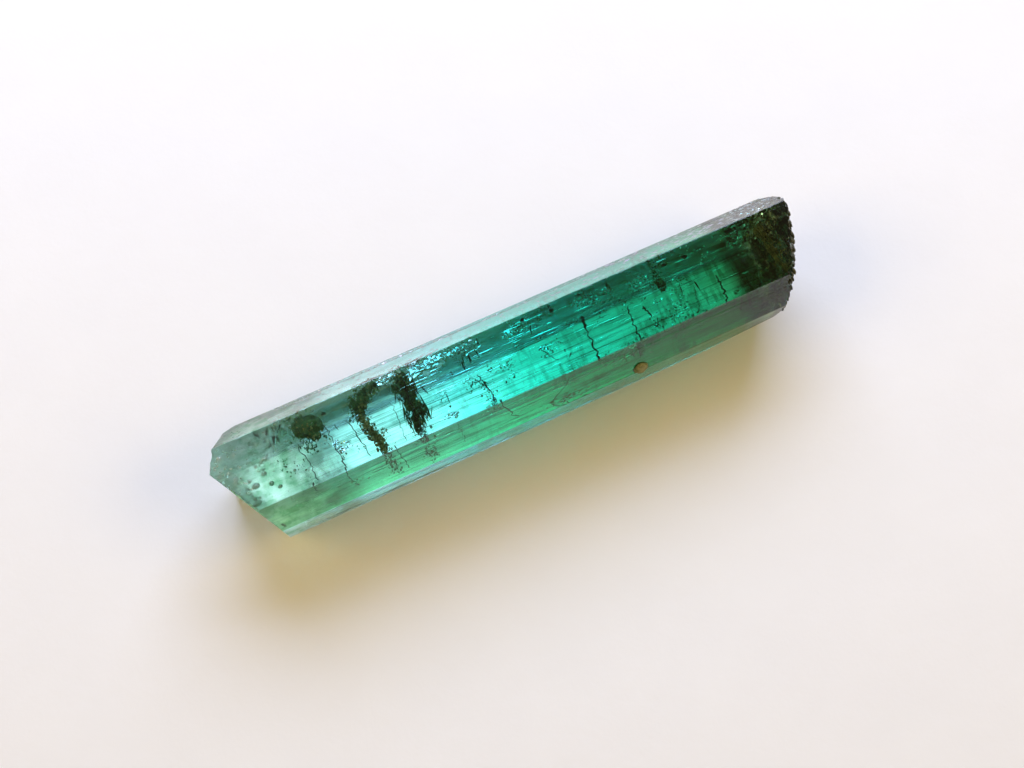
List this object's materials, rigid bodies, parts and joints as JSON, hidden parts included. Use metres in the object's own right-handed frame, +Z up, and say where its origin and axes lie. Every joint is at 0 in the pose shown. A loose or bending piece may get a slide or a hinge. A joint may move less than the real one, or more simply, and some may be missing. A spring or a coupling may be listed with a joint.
{
  "type": "tourmaline crystal",
  "caption": "Loose green tourmaline prism with a flat-faced termination at one end and a broken dark end, lying on a side face.",
  "frame": {"origin": "under the middle of the crystal's bounding box, in the plane of the side face it rests on", "axes": "+X along the crystal's c axis from the termination to the broken end, -Y towards the narrow front faces, +Z up"},
  "size_m": [0.0402, 0.0076, 0.0069],
  "materials": {
    "tourmaline": "see-through green crystal, pale at the termination and blackish olive at the break, glossy side faces with fine lengthwise growth lines, rough broken end"
  },
  "bodies": {
    "root": {"tourmaline_crystal": "tourmaline"}
  },
  "joints": []
}
